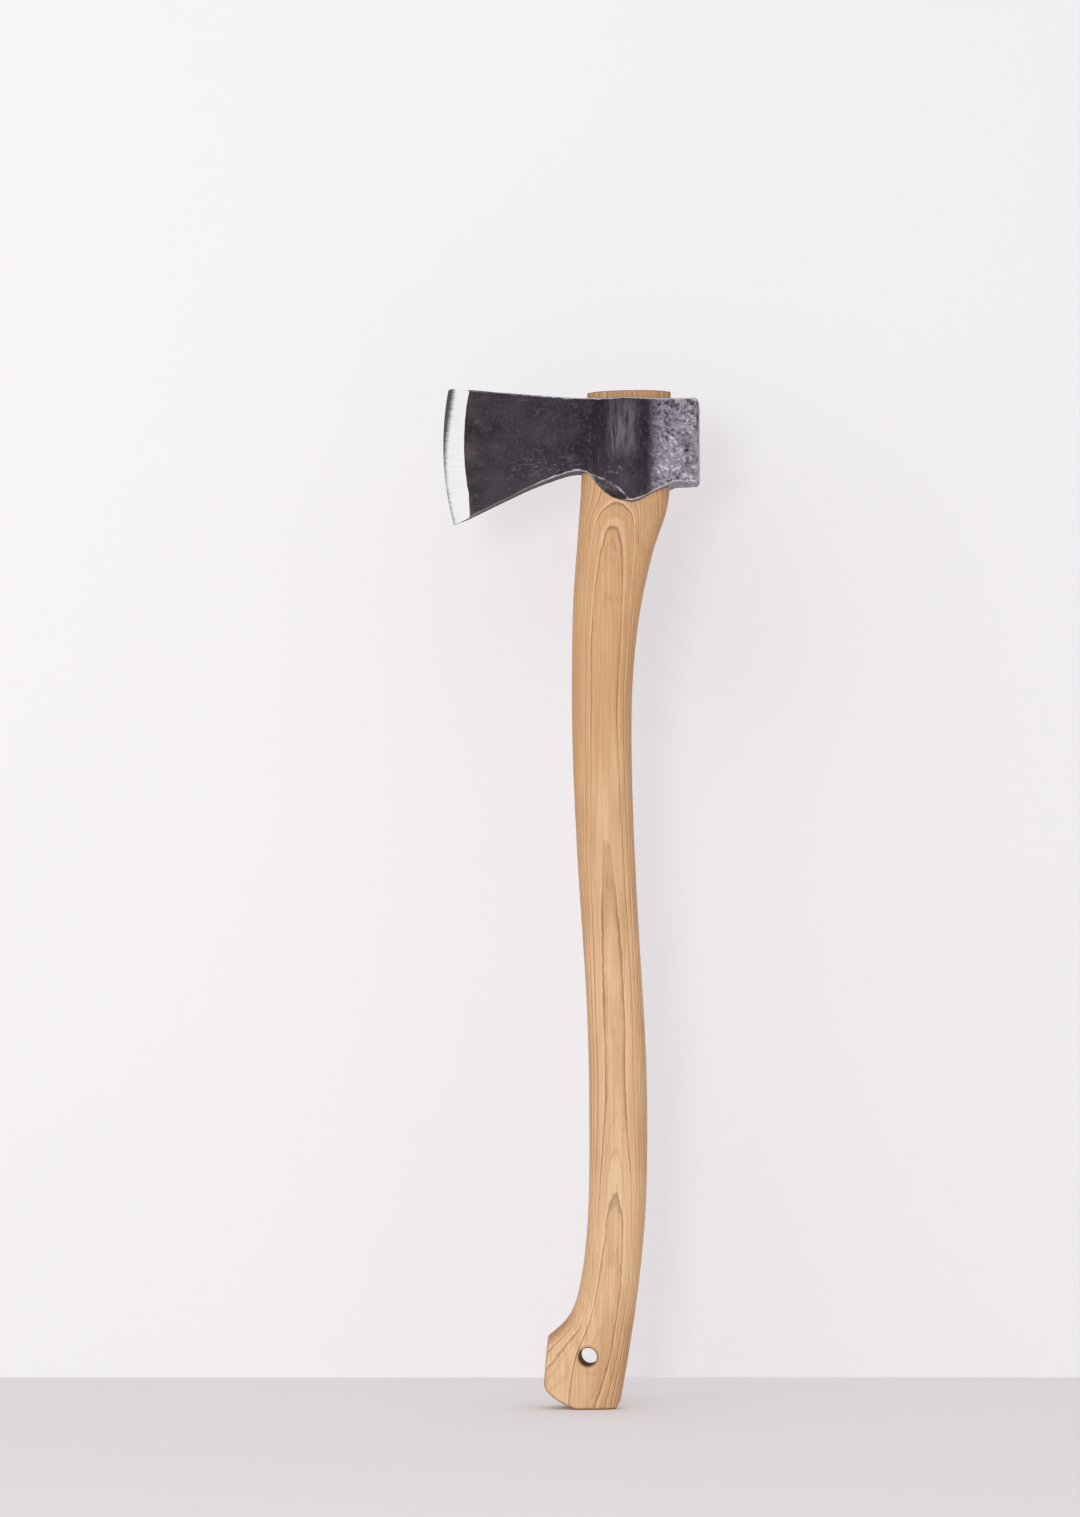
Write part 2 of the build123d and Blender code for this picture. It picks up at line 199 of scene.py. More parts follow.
def weigh_head(head):
    """A vertex group with how deep the hammer marks may go: not on the wall of the eye."""
    skin = head.vertex_groups.new(name="hammered")
    for vert in head.data.vertices:
        if in_eye(vert.co, vert.normal):
            continue
        away = max(abs(vert.co.y / MM) - SOUND_Y, abs(vert.co.x / MM - EYE_X) - SOUND_X)
        even = 1 - 0.75 * smooth_share(-vert.co.x / MM, CALM_FROM, CALM_TO)
        skin.add([vert.index], even * smooth_share(away, -0.5, 3.0), "REPLACE")


def dent(piece, name, size, depth, group):
    """Dents of one size pressed into the skin, never raised above it."""
    texture = bpy.data.textures.new(name, "CLOUDS")
    texture.noise_scale = size
    texture.noise_depth = 2
    push = piece.modifiers.new(name, "DISPLACE")
    push.texture = texture
    push.texture_coords = "LOCAL"
    push.mid_level = 1.0
    push.strength = depth
    push.vertex_group = group
    apply_modifier(piece, push)


def thin_heel(head):
    """Thins the bit towards its heel, so the ground bevel narrows there."""
    for vert in head.data.vertices:
        forward = smooth_share(-vert.co.x / MM, THIN_FROM, THIN_TO)
        height = (vert.co.z - EDGE_CENTRE.z) / MM
        vert.co.y *= 1 + forward * (THIN_PER_MM * height - THIN_SHARE)


def spin_cutter(name, profile, centre, material):
    """A grinding cutter: a C-shaped section about the bit's middle plane, spun round a centre."""
    corners = profile + [(r, -y) for r, y in reversed(profile)]
    deselect_all()
    bpy.ops.mesh.primitive_circle_add(vertices=len(corners), radius=0.01, fill_type="NGON")
    cutter = bpy.context.object
    cutter.name = name
    start = Matrix.Rotation(SWEEP_START, 4, "Y")
    for vert, (r, y) in zip(cutter.data.vertices, corners):
        vert.co = centre + start @ Vector((-r * MM, y * MM, 0))
    bpy.ops.object.mode_set(mode="EDIT")
    bpy.ops.mesh.select_all(action="SELECT")
    bpy.ops.mesh.spin(steps=SWEEP_STEPS, angle=SWEEP_ANGLE, center=centre, axis=(0, 1, 0))
    bpy.ops.mesh.select_all(action="SELECT")
    bpy.ops.mesh.normals_make_consistent(inside=False)
    bpy.ops.object.mode_set(mode="OBJECT")
    cutter.data.materials.append(material)
    return cutter


def cut_with(piece, cutter):
    """Takes the cutter away from the piece. The cut faces get the cutter's material."""
    cut = piece.modifiers.new("grind", "BOOLEAN")
    cut.operation = "DIFFERENCE"
    cut.solver = "EXACT"
    cut.material_mode = "TRANSFER"
    cut.object = cutter
    apply_modifier(piece, cut)
    bpy.data.objects.remove(cutter)


def grind_bevels(head, material):
    """The wide ground bevel, then the narrow honed one with the edge's outline."""
    corner_y = EDGE_HALF + HONED_WIDTH * HONED_SLOPE
    corner_r = EDGE_RADIUS - HONED_WIDTH
    back_r = corner_r - GROUND_WIDTH
    tip_r = corner_r + corner_y / GROUND_SLOPE - 0.1
    raised = EDGE_CENTRE + Vector((0, 0, GROUND_RAISE * MM))
    wide = [
        (EDGE_RADIUS + CUTTER_REACH, CUTTER_HALF),
        (back_r, CUTTER_HALF),
        (back_r, corner_y + GROUND_WIDTH * GROUND_SLOPE),
        (tip_r, 0.1 * GROUND_SLOPE),
    ]
    cut_with(head, spin_cutter("wide_wheel", wide, raised, material))
    honed_y = EDGE_HALF + HONED_BACK * HONED_SLOPE
    honed = [
        (EDGE_RADIUS + CUTTER_REACH, CUTTER_HALF),
        (EDGE_RADIUS - HONED_BACK, CUTTER_HALF),
        (EDGE_RADIUS - HONED_BACK, honed_y),
        (EDGE_RADIUS, EDGE_HALF),
    ]
    cut_with(head, spin_cutter("honing_wheel", honed, EDGE_CENTRE, material))


def crisp_material_borders(mesh):
    """Marks the edges between two finishes sharp, so each shades as its own surface."""
    sides = {}
    for face in mesh.polygons:
        for key in face.edge_keys:
            sides.setdefault(key, set()).add(face.material_index)
    for edge in mesh.edges:
        if len(sides[edge.key]) > 1:
            edge.use_edge_sharp = True


def shade(piece, degrees):
    """Smooth shading, broken where faces meet at more than this angle."""
    pick(piece)
    bpy.ops.object.shade_smooth_by_angle(angle=math.radians(degrees))


def make_head():
    """The head: drawn out, evened, hammered and ground, in place of the CAD's plain one."""
    head = copy_node("axe_head", "forged_head")
    head.data.materials.append(forge_scale())
    draw_out_bit(head)
    remesh_evenly(head, VOXEL, 4)
    weigh_head(head)
    thin_heel(head)
    dent(head, "hammer_marks", 13 * MM, 0.38 * MM, "hammered")
    dent(head, "scale_pits", 3.6 * MM, 0.14 * MM, "hammered")
    grind_bevels(head, ground_steel())
    shade(head, 38)
    crisp_material_borders(head.data)
    head.vertex_groups.clear()
    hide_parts("axe_head")
    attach(head, "root")


# ---- Building materials ----
def new_material(name):
    """An empty material with its shader: returns the material, its tree and the shader."""
    material = bpy.data.materials.new(name)
    material.use_nodes = True
    return material, material.node_tree, material.node_tree.nodes["Principled BSDF"]


def add(tree, kind, inputs=None, **settings):
    """A node with its settings made, and its inputs set or linked."""
    made = tree.nodes.new("ShaderNode" + kind)
    for key, value in settings.items():
        setattr(made, key, value)
    for key, value in (inputs or {}).items():
        if isinstance(value, bpy.types.NodeSocket):
            tree.links.new(value, made.inputs[key])
        else:
            made.inputs[key].default_value = value
    return made


def calc(tree, operation, *values):
    """One Math node's result."""
    return add(tree, "Math", dict(enumerate(values)), operation=operation).outputs[0]


def times(tree, first, second):
    """Two values multiplied."""
    return calc(tree, "MULTIPLY", first, second)


def plus(tree, first, second):
    """Two values added."""
    return calc(tree, "ADD", first, second)


def minus(tree, first, second):
    """The first value less the second."""
    return calc(tree, "SUBTRACT", first, second)


def rise(tree, value, low, high, bottom=0.0, top=1.0):
    """A smooth step of a value from bottom at low to top at high."""
    inputs = {"Value": value, "From Min": low, "From Max": high, "To Min": bottom, "To Max": top}
    return add(tree, "MapRange", inputs, interpolation_type="SMOOTHSTEP").outputs["Result"]


def window(tree, value, low, high, soft):
    """1 between low and high, falling to 0 over the soft width outside."""
    up = rise(tree, value, low - soft, low)
    down = rise(tree, value, high, high + soft, 1.0, 0.0)
    return times(tree, up, down)


def blend(tree, mask, first, second, kind="MIX"):
    """A colour mix: a linked or plain colour each side, by a mask."""
    inputs = {0: mask, 6: first, 7: second}
    made = add(tree, "Mix", inputs, data_type="RGBA", blend_type=kind)
    return made.outputs[2]


def noise(tree, place, stretch, detail=3.0, rough=0.55, twist=0.0):
    """Noise with this many waves for each metre along X, Y and Z."""
    scaled = add(tree, "VectorMath", {0: place, 1: stretch}, operation="MULTIPLY")
    inputs = {"Vector": scaled.outputs[0], "Scale": 1.0, "Detail": detail}
    inputs.update({"Roughness": rough, "Distortion": twist})
    return add(tree, "TexNoise", inputs).outputs["Fac"]


def even_noise(tree, place, waves, detail):
    """Noise alike in all directions, whose waves for each metre may be linked."""
    spread = add(tree, "VectorMath", {0: place, "Scale": waves}, operation="SCALE")
    inputs = {"Vector": spread.outputs[0], "Scale": 1.0, "Detail": detail}
    return add(tree, "TexNoise", inputs).outputs["Fac"]


def own_place(tree):
    """Object coordinates, whole and split."""
    place = add(tree, "TexCoord").outputs["Object"]
    split = add(tree, "SeparateXYZ", {0: place})
    return place, split.outputs["X"], split.outputs["Y"], split.outputs["Z"]


def own_facing(tree):
    """How far a face looks along Y and along Z, whichever way: 1 is straight."""
    split = add(tree, "SeparateXYZ", {0: add(tree, "NewGeometry").outputs["Normal"]})
    side = calc(tree, "ABSOLUTE", split.outputs["Y"])
    return side, calc(tree, "ABSOLUTE", split.outputs["Z"])


def side_distance(tree, place, centre):
    """How far a point is from a centre, seen from the side."""
    flat = add(tree, "VectorMath", {0: place, 1: (1, 0, 1)}, operation="MULTIPLY")
    inputs = {0: flat.outputs[0], 1: tuple(centre)}
    return add(tree, "VectorMath", inputs, operation="DISTANCE").outputs["Value"]


def add_bump(tree, shader, height, strength, distance):
    """Fine relief from a height."""
    bump = add(tree, "Bump", {"Height": height, "Strength": strength, "Distance": distance})
    tree.links.new(bump.outputs["Normal"], shader.inputs["Normal"])


def new_group(name, takes, gives):
    """A shader group with named sockets: returns its tree, its input node and its output node."""
    tree = bpy.data.node_groups.new(name, "ShaderNodeTree")
    for title, kind, value in takes:
        made = tree.interface.new_socket(title, in_out="INPUT", socket_type=kind)
        if value is not None:
            made.default_value = value
    for title, kind in gives:
        tree.interface.new_socket(title, in_out="OUTPUT", socket_type=kind)
    return tree, tree.nodes.new("NodeGroupInput"), tree.nodes.new("NodeGroupOutput")


def use_group(tree, group, inputs):
    """A group placed in a material with its own values."""
    made = add(tree, "Group", node_tree=group)
    for key, value in inputs.items():
        if isinstance(value, bpy.types.NodeSocket):
            tree.links.new(value, made.inputs[key])
        else:
            made.inputs[key].default_value = value
    return made


def make_scratch_group():
    """Sparse straight scratches: a band of a stretched noise, broken up by a coarser one."""
    takes = (
        ("Place", "NodeSocketVector", None),
        ("Stretch", "NodeSocketVector", (40.0, 1500.0, 1500.0)),
        ("Patches", "NodeSocketFloat", 90.0),
        ("Sparse", "NodeSocketFloat", 0.6),
    )
    tree, given, out = new_group("fine_scratches", takes, (("Mask", "NodeSocketFloat"),))
    place, stretch = given.outputs["Place"], given.outputs["Stretch"]
    lines = noise(tree, place, stretch, 2.0, 0.5)
    thin = rise(tree, lines, given.outputs["Sparse"], 0.78)
    where = rise(tree, even_noise(tree, place, given.outputs["Patches"], 2.0), 0.42, 0.62)
    tree.links.new(times(tree, thin, where), out.inputs["Mask"])
    return tree


def make_wear_group():
    """Metal rubbed bright along the edges that stand out."""
    takes = (
        ("Place", "NodeSocketVector", None),
        ("Low", "NodeSocketFloat", 0.52),
        ("High", "NodeSocketFloat", 0.62),
        ("Grain", "NodeSocketFloat", 400.0),
    )
    tree, given, out = new_group("worn_edges", takes, (("Mask", "NodeSocketFloat"),))
    bulge = add(tree, "NewGeometry").outputs["Pointiness"]
    grain = even_noise(tree, given.outputs["Place"], given.outputs["Grain"], 3.0)
    shifted = plus(tree, bulge, times(tree, minus(tree, grain, 0.5), 0.045))
    mask = rise(tree, shifted, given.outputs["Low"], given.outputs["High"])
    tree.links.new(mask, out.inputs["Mask"])
    return tree


FALSE_RINGS = 3.37  # faint lines for each true ring


def make_grain_group():
    """Growth rings from a ring count: dark lines, pale bands, and streaks and pores along Z."""
    takes = (
        ("Place", "NodeSocketVector", None),
        ("Count", "NodeSocketFloat", 0.0),
        ("Line", "NodeSocketFloat", 0.17),
    )
    gives = (
        ("Dark", "NodeSocketFloat"),
        ("Pale", "NodeSocketFloat"),
        ("Streaks", "NodeSocketFloat"),
        ("Pores", "NodeSocketFloat"),
    )
    tree, given, out = new_group("wood_grain", takes, gives)
    place = given.outputs["Place"]
    share = calc(tree, "FRACT", given.outputs["Count"])
    after = rise(tree, share, 0.0, given.outputs["Line"], 1.0, 0.0)
    before = rise(tree, share, 0.965, 1.0)
    dark = calc(tree, "MAXIMUM", after, before)
    within = calc(tree, "FRACT", times(tree, given.outputs["Count"], FALSE_RINGS))
    faint = rise(tree, calc(tree, "ABSOLUTE", minus(tree, within, 0.5)), 0.0, 0.17, 0.26, 0.0)
    dark = calc(tree, "MAXIMUM", dark, faint)
    late = rise(tree, share, 0.66, 0.93)
    pale = times(tree, late, minus(tree, 1.0, before))
    streaks = noise(tree, place, (900, 900, 14), 4.0, 0.6)
    dashes = noise(tree, place, (1500, 1500, 110), 1.0, 0.4)
    open_pores = rise(tree, dashes, 0.68, 0.76)
    near_line = rise(tree, share, 0.12, 0.5, 1.0, 0.25)
    pores = times(tree, open_pores, near_line)
    for title, value in (("Dark", dark), ("Pale", pale), ("Streaks", streaks), ("Pores", pores)):
        tree.links.new(value, out.inputs[title])
    return tree


scratch_group = make_scratch_group()
wear_group = make_wear_group()
grain_group = make_grain_group()


# ---- Steel ----
def arc_distance(tree, place):
    """How far a point is from the centre of the edge's arc, seen from the side, in mm."""
    return times(tree, side_distance(tree, place, EDGE_CENTRE), 1 / MM)


def scaled_blade(tree, place, x, z, cloud, fine):
    """Black scale with scratches, shallow pits low on the blade, and a dark line of painted shade
    where the blade meets the eye's swell.
    """
    lower = plus(tree, cloud, rise(tree, z, 574 * MM, 604 * MM, 0.12, 0.0))
    black, dull = (0.015, 0.012, 0.0155, 1), (0.040, 0.0325, 0.0405, 1)
    base = blend(tree, rise(tree, lower, 0.3, 0.7), black, dull)
    base = blend(tree, rise(tree, fine, 0.47, 0.74), base, (0.07, 0.06, 0.072, 1))
    marks = blade_scratches(tree, place, x)
    base = blend(tree, times(tree, marks, 0.5), base, (0.19, 0.18, 0.2, 1))
    low_x = window(tree, x, -50 * MM, -14 * MM, 9 * MM)
    low_z = window(tree, z, 587 * MM, 593 * MM, 6 * MM)
    tiny = noise(tree, place, (330, 330, 800), 6.0, 0.75)
    pits = times(tree, rise(tree, tiny, 0.50, 0.68), times(tree, low_x, low_z))
    base = blend(tree, times(tree, pits, 0.65), base, (0.17, 0.155, 0.17, 1))
    # Painted shade: a dark line just before the eye, where the blade's flat turns into the eye's
    # swell, in place of a crease's shading.
    crease_shade = rise(tree, x, -2.5 * MM, -1.2 * MM)
    crease_shade = times(tree, crease_shade, rise(tree, x, 0, 12 * MM, 1.0, 0.0))
    base = blend(tree, times(tree, crease_shade, 0.4), base, (0.008, 0.007, 0.009, 1))
    return base, marks


def blade_scratches(tree, place, x):
    """Long scratches along the blade, short upright ones on the eye."""
    blade = rise(tree, x, -12 * MM, -2 * MM, 1.0, 0.0)
    takes = {"Place": place, "Stretch": (45, 300, 1900), "Patches": 70, "Sparse": 0.6}
    along = use_group(tree, scratch_group, takes)
    takes = {"Place": place, "Stretch": (1700, 300, 60), "Patches": 110, "Sparse": 0.58}
    upright = use_group(tree, scratch_group, takes)
    blade_marks = times(tree, along.outputs["Mask"], blade)
    eye_marks = times(tree, upright.outputs["Mask"], minus(tree, 1.0, blade))
    return calc(tree, "MAXIMUM", blade_marks, eye_marks)


def crest_highlight(tree, place, x, z, base):
    """A painted highlight on the crest of the eye: an upright patch, broken into streaks."""
    high = window(tree, z, 604 * MM, 623 * MM, 13 * MM)
    crest = times(tree, window(tree, x, 13 * MM, 24 * MM, 7 * MM), high)
    highlight_streaks = noise(tree, place, (700, 100, 70), 4.0, 0.6)
    crest = times(tree, crest, rise(tree, highlight_streaks, 0.36, 0.62))
    return blend(tree, times(tree, crest, 0.8), base, (0.13, 0.118, 0.132, 1))


def flaked_poll(tree, place, z, flat, base):
    """The flat of the poll has lost much of its scale in flakes: grey ones, and bright ones."""
    flakes = noise(tree, place, (340, 340, 340), 7.0, 0.7, 0.3)
    patchy = times(tree, minus(tree, noise(tree, place, (75, 75, 75), 3.0, 0.6), 0.5), 0.24)
    fewer_above = rise(tree, z, 580 * MM, 632 * MM, 0.03, -0.04)
    flakes = plus(tree, flakes, plus(tree, patchy, fewer_above))
    grey = times(tree, flat, rise(tree, flakes, 0.34, 0.53))
    bright = times(tree, flat, rise(tree, flakes, 0.55, 0.66))
    base = blend(tree, grey, base, (0.225, 0.198, 0.235, 1))
    return blend(tree, bright, base, (0.5, 0.46, 0.52, 1)), grey


def bright_edges(tree, place, x, z, fine, base):
    """A painted highlight on the front of the lug, and the edges that are handled or struck
    rubbed bright.
    """
    side, _ = own_facing(tree)
    # Painted highlight: the lug's faces that look along X or Z rather than sideways are
    # lightened, in patches set by fine noise.
    lug_facet_highlight = rise(tree, side, 0.55, 0.95, 1.0, 0.0)
    lug_facet_highlight = times(tree, lug_facet_highlight, window(tree, x, -2 * MM, 12 * MM, 6 * MM))
    lug_facet_highlight = times(tree, lug_facet_highlight, window(tree, z, 574 * MM, 590 * MM, 5 * MM))
    lug_facet_highlight = times(tree, lug_facet_highlight, rise(tree, fine, 0.4, 0.6, 0.25, 0.85))
    base = blend(tree, lug_facet_highlight, base, (0.52, 0.49, 0.52, 1))
    lug = window(tree, x, -2 * MM, 11 * MM, 5 * MM)
    lug = times(tree, lug, window(tree, z, 568 * MM, 590 * MM, 3 * MM))
    least = minus(tree, 0.5085, times(tree, lug, 0.0055))
    takes = {"Place": place, "Low": least, "High": plus(tree, least, 0.017), "Grain": 170}
    worn = use_group(tree, wear_group, takes).outputs["Mask"]
    rubbed = times(tree, worn, rise(tree, x, -45 * MM, -28 * MM, 0.3, 0.95))
    return blend(tree, rubbed, base, (0.45, 0.42, 0.45, 1))


def forge_scale():
    """Black forge scale: dark on the blade, with a painted highlight on the eye's crest, flaked
    on the poll.
    """
    material, tree, shader = new_material("forge_scale")
    place, x, _, z = own_place(tree)
    cloud = noise(tree, place, (55, 55, 55), 5.0, 0.6)
    fine = noise(tree, place, (420, 420, 420), 4.0, 0.65)
    speck = noise(tree, place, (1100, 1100, 1100), 2.0, 0.5)
    base, marks = scaled_blade(tree, place, x, z, cloud, fine)
    # Painted highlight on the crest of the eye.
    base = crest_highlight(tree, place, x, z, base)
    flat = rise(tree, x, 33 * MM, 42 * MM)
    base, flaked = flaked_poll(tree, place, z, flat, base)
    # Brown heat colours just behind the ground bevel.
    tint = rise(tree, arc_distance(tree, place), 176.0, 186.0)
    tint = times(tree, tint, rise(tree, cloud, 0.35, 0.65))
    base = blend(tree, times(tree, tint, 0.55), base, (0.085, 0.058, 0.045, 1))
    # Painted highlight on the front of the lug, and bright edge wear.
    base = bright_edges(tree, place, x, z, fine, base)
    tree.links.new(base, shader.inputs["Base Color"])
    shader.inputs["Metallic"].default_value = 0.85
    rough = plus(tree, rise(tree, fine, 0.3, 0.7, 0.36, 0.52), times(tree, speck, 0.08))
    rough = minus(tree, rough, times(tree, flat, 0.06))
    tree.links.new(rough, shader.inputs["Roughness"])
    height = plus(tree, fine, times(tree, speck, 0.35))
    height = minus(tree, height, times(tree, marks, 0.3))
    height = minus(tree, height, times(tree, flaked, 0.35))
    add_bump(tree, shader, height, 0.55, 0.25 * MM)
    return material


def ground_steel():
    """Bright steel off the grinding wheel, with a darker, scratched honed band along the edge."""
    material, tree, shader = new_material("ground_steel")
    place, _, _, z = own_place(tree)
    lines = noise(tree, place, (60, 60, 2600), 3.0, 0.6)
    cross = noise(tree, place, (1500, 300, 50), 3.0, 0.6)
    dull, clean = (0.50, 0.50, 0.51, 1), (0.60, 0.60, 0.605, 1)
    base = blend(tree, rise(tree, lines, 0.3, 0.7), dull, clean)
    base = blend(tree, rise(tree, cross, 0.55, 0.8, 0.0, 0.25), base, (0.4, 0.4, 0.42, 1))
    # The honed band is wider at the toe, and its border is feathered by the stone.
    width = rise(tree, z, HEEL_Z + 25 * MM, TOE_Z - 8 * MM, 1.1, 4.6)
    feather = minus(tree, noise(tree, place, (70, 70, 2300), 2.0, 0.6), 0.5)
    inside = plus(tree, minus(tree, arc_distance(tree, place), EDGE_RADIUS), width)
    honed = rise(tree, plus(tree, inside, times(tree, feather, 5.0)), -1.6, 2.6)
    base = blend(tree, times(tree, honed, 0.95), base, (0.035, 0.030, 0.034, 1))
    tree.links.new(base, shader.inputs["Base Color"])
    shader.inputs["Metallic"].default_value = 1.0
    tree.links.new(rise(tree, lines, 0.2, 0.8, 0.24, 0.36), shader.inputs["Roughness"])
    add_bump(tree, shader, plus(tree, lines, cross), 0.12, 0.05 * MM)
    return material


def wedge_steel():
    """Mild steel of the cross wedge: rolled skin, its top burred bright by the hammer."""
    material, tree, shader = new_material("wedge_steel")
    place = own_place(tree)[0]
    fine = noise(tree, place, (600, 600, 600), 4.0, 0.65)
    dull, clean = (0.16, 0.15, 0.15, 1), (0.3, 0.29, 0.29, 1)
    base = blend(tree, rise(tree, fine, 0.35, 0.65), dull, clean)
    takes = {"Place": place, "Stretch": (1300, 1300, 90), "Patches": 300, "Sparse": 0.55}
    marks = use_group(tree, scratch_group, takes).outputs["Mask"]
    base = blend(tree, times(tree, marks, 0.6), base, (0.5, 0.49, 0.5, 1))
    takes = {"Place": place, "Low": 0.52, "High": 0.6, "Grain": 900}
    worn = use_group(tree, wear_group, takes).outputs["Mask"]
    base = blend(tree, worn, base, (0.55, 0.54, 0.55, 1))
    tree.links.new(base, shader.inputs["Base Color"])
    shader.inputs["Metallic"].default_value = 1.0
    tree.links.new(rise(tree, fine, 0.3, 0.7, 0.3, 0.5), shader.inputs["Roughness"])
    add_bump(tree, shader, fine, 0.4, 0.12 * MM)
    return material


# ---- Wood ----
HOLE_CENTRE = (-4.7 * MM, 0, 32.2 * MM)
HOLLOW_CENTRE = (-56 * MM, 0, 90.6 * MM)  # of the hollow curve above the haft's knuckle
RING_SPACING = 1.9 * MM
RING_RADIUS = 105 * MM  # the rings curve about an upright axis
RING_AXIS_X = 10.5 * MM
RING_AXIS_FOOT = -2 * MM  # the axis leans back towards the foot
RING_STEEP = 19 * MM  # beyond this from the axis the rings crowd
RING_TOP = 650 * MM  # the ring curve covers heights up to this
RING_RANGE = 6.0  # and this many rings
MOST_DROP = 12.0  # more rings than the grain ever falls by
KNUCKLE_DROP = 0.9  # the most rings that it falls by across the knuckle
# How many rings the grain has risen by, at heights in mm: where it turns, the rings peak.
RING_CURVE = (
    (0, 5.25), (28, 5.35), (51, 5.27), (68, 5.34), (87, 5.43), (110, 5.45), (125, 5.31),
    (133, 5.21), (138, 5.18), (145, 5.13), (160, 4.91), (183, 4.68), (215, 4.59), (258, 4.59),
    (300, 4.48), (330, 4.33), (350, 4.24), (362, 4.19), (375, 4.12), (400, 4.04), (430, 3.96),
    (460, 3.90), (500, 3.53), (520, 3.29), (536, 3.09), (551, 2.80), (565, 1.85), (575, 1.35),
    (600, 0.9), (640, 0.5),
)
DARK_WOOD_LINE = 0.22  # share of a ring that its dark line takes


def hole_shade_and_rim(tree, place):
    """The wall of the hanging hole, darkened as painted shade in the recess, and a fainter darker
    ring round its rim.
    """
    far = side_distance(tree, place, HOLE_CENTRE)
    wall = rise(tree, far, 5.6 * MM, 5.9 * MM, 1.0, 0.0)
    rim = rise(tree, far, 5.9 * MM, 7.6 * MM, 0.62, 0.0)
    return calc(tree, "MAXIMUM", wall, rim)


def line_width(tree, side, height):
    """The dark line is wider on the haft's narrow sides, and thin where rings close in a peak."""
    wide = rise(tree, side, 0.55, 0.96, DARK_WOOD_LINE + 0.2, DARK_WOOD_LINE)
    foot_peak = window(tree, height, 60 * MM, 138 * MM, 12 * MM)
    neck_peak = window(tree, height, 495 * MM, 545 * MM, 15 * MM)
    slow = plus(tree, foot_peak, neck_peak)
    return times(tree, wide, minus(tree, 1.0, times(tree, slow, 0.5)))


def ring_strength(tree, place, side, height):
    """How strong the rings show: patchy, and weak in the middle of the grip."""
    patchy = rise(tree, noise(tree, place, (110, 110, 22), 3.0, 0.6), 0.3, 0.65, 0.7, 1.0)
    plain = window(tree, height, 335 * MM, 400 * MM, 30 * MM)
    plain = times(tree, plain, rise(tree, side, 0.93, 0.99, 0.0, 0.7))
    return times(tree, patchy, minus(tree, 1.0, plain))


def finish_wood(tree, shader, place, count, colours, bore=False):
    """Colour, shine and relief of a wooden surface from its ring count."""
    honey, deep, pale, dark, pore, end = colours
    height = add(tree, "SeparateXYZ", {0: place}).outputs["Z"]
    side, upright = own_facing(tree)
    takes = {"Place": place, "Count": count, "Line": line_width(tree, side, height)}
    grain = use_group(tree, grain_group, takes)
    cloud = noise(tree, place, (60, 60, 11), 3.0, 0.55)
    richer = plus(tree, cloud, rise(tree, height, 0.2, 0.55, -0.08, 0.22))
    base = blend(tree, rise(tree, richer, 0.32, 0.68), honey, deep)
    handled = rise(tree, height, 629 * MM, 633 * MM, 0.0, 0.6)
    base = blend(tree, handled, base, end, "MULTIPLY")
    strength = ring_strength(tree, place, side, height)
    bands = times(tree, grain.outputs["Pale"], times(tree, strength, 0.5))
    base = blend(tree, bands, base, pale)
    lines = times(tree, strength, rise(tree, side, 0.86, 0.99, 1.0, 0.78))
    base = blend(tree, times(tree, grain.outputs["Dark"], lines), base, dark)
    streaks = rise(tree, grain.outputs["Streaks"], 0.30, 0.72)
    base = blend(tree, times(tree, streaks, 0.3), base, dark)
    base = blend(tree, times(tree, grain.outputs["Pores"], 0.6), base, pore)
    # End grain is darker; the mask starts at shallow slopes so the foot's eased edges get painted
    # shade as well.
    end_grain_and_edge_shade = rise(tree, upright, 0.2, 0.75)
    base = blend(tree, times(tree, end_grain_and_edge_shade, 0.7), base, end, "MULTIPLY")
    # Painted shade: the haft's narrow front and back are darkened as the light falls off towards
    # the outline, more strongly on the foot below 58 mm.
    narrow = rise(tree, side, 0.4, 0.93, 1.0, 0.0)
    narrow = times(tree, narrow, rise(tree, height, 58 * MM, 68 * MM, 0.62, 0.34))
    base = blend(tree, narrow, base, (0.78, 0.62, 0.47, 1), "MULTIPLY")
    rough = rise(tree, grain.outputs["Streaks"], 0.25, 0.75, 0.40, 0.52)
    if bore:
        # Painted shade on the wall of the hanging hole and a darker ring round its rim; the
        # roughness rises there too.
        hole_shade = hole_shade_and_rim(tree, place)
        base = blend(tree, hole_shade, base, (0.46, 0.29, 0.18, 1), "MULTIPLY")
        rough = calc(tree, "MAXIMUM", rough, times(tree, hole_shade, 0.8))
    tree.links.new(base, shader.inputs["Base Color"])
    tree.links.new(rough, shader.inputs["Roughness"])
    sunk = plus(tree, grain.outputs["Pores"], times(tree, grain.outputs["Dark"], 0.5))
    relief = minus(tree, times(tree, grain.outputs["Streaks"], 0.6), sunk)
    add_bump(tree, shader, relief, 0.3, 0.1 * MM)


def ring_curve(tree, z):
    """The ring curve as a node: the rings risen by at a height."""
    curve = add(tree, "FloatCurve", {"Value": calc(tree, "DIVIDE", z, RING_TOP)})
    line = curve.mapping.curves[0]
    for height, rings in RING_CURVE[1:-1]:
        line.points.new(height * MM / RING_TOP, rings / RING_RANGE)
    ends = (line.points[0], line.points[-1])
    for point, (height, rings) in zip(ends, (RING_CURVE[0], RING_CURVE[-1])):
        point.location = (height * MM / RING_TOP, rings / RING_RANGE)
    for point in line.points:
        point.handle_type = "AUTO_CLAMPED"
    curve.mapping.update()
    return times(tree, curve.outputs[0], RING_RANGE)


